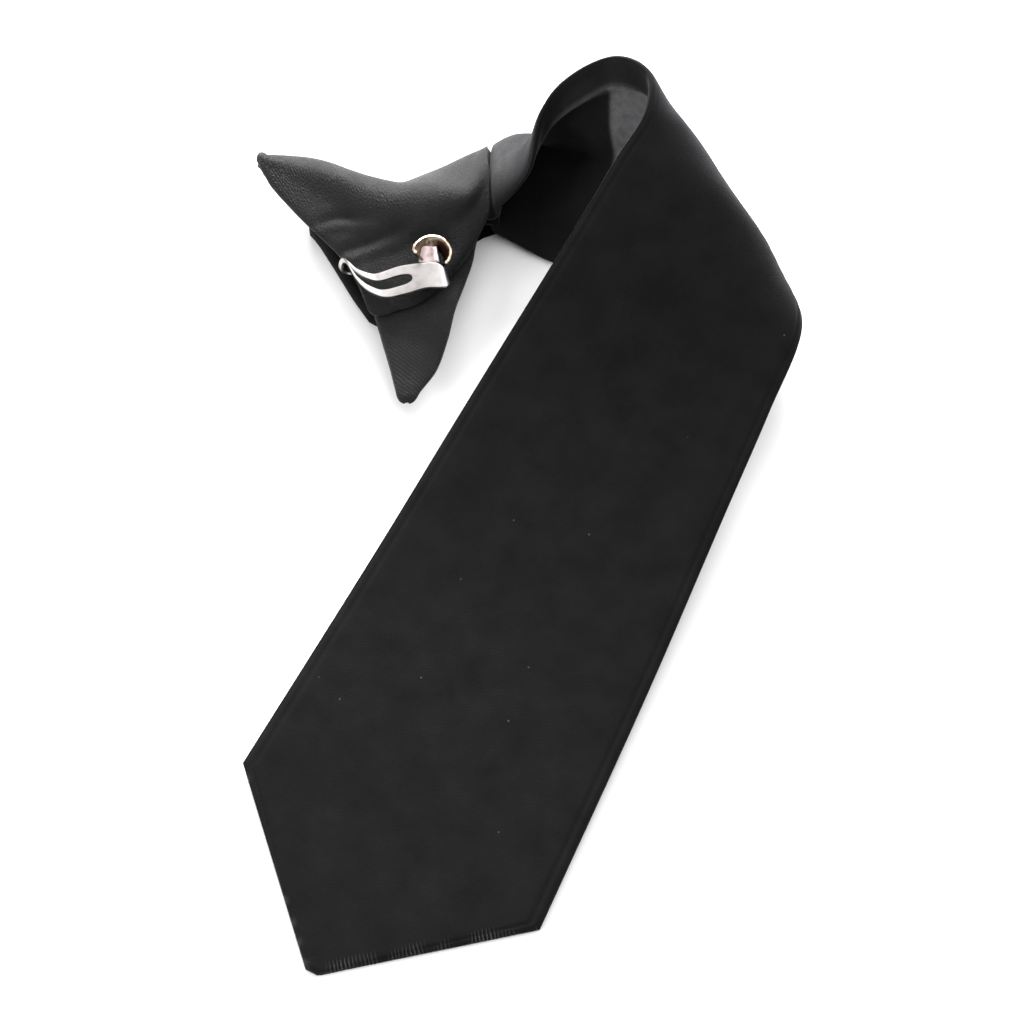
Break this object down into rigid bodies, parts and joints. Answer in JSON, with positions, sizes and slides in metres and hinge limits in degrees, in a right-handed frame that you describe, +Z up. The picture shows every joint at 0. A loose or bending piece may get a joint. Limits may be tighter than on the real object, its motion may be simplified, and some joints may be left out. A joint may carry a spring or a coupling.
{
  "type": "clip-on necktie",
  "caption": "Clip-on tie laid with its blade face up and rolled over at the neck, and the knot turned to show a slotted spring clip.",
  "frame": {"origin": "middle of the bounding box's underside, on the surface the tie lies on", "axes": "+Y runs up the blade from its point to the roll, +Z is up out of the surface, +X is to the blade's right seen from above"},
  "size_m": [0.1522, 0.218, 0.0494],
  "materials": {
    "cloth": "matt black polyester with a fine diagonal rib",
    "spring_steel": "bright nickel-plated spring strip",
    "stud_brass": "pale brass, thinly plated"
  },
  "bodies": {
    "root": {"blade": "cloth", "knot_front": "cloth", "knot_wrap": "cloth", "wing_lower": "cloth", "clip_spring": "spring_steel", "stud_ring": "stud_brass", "stud_tab": "spring_steel"}
  },
  "joints": []
}
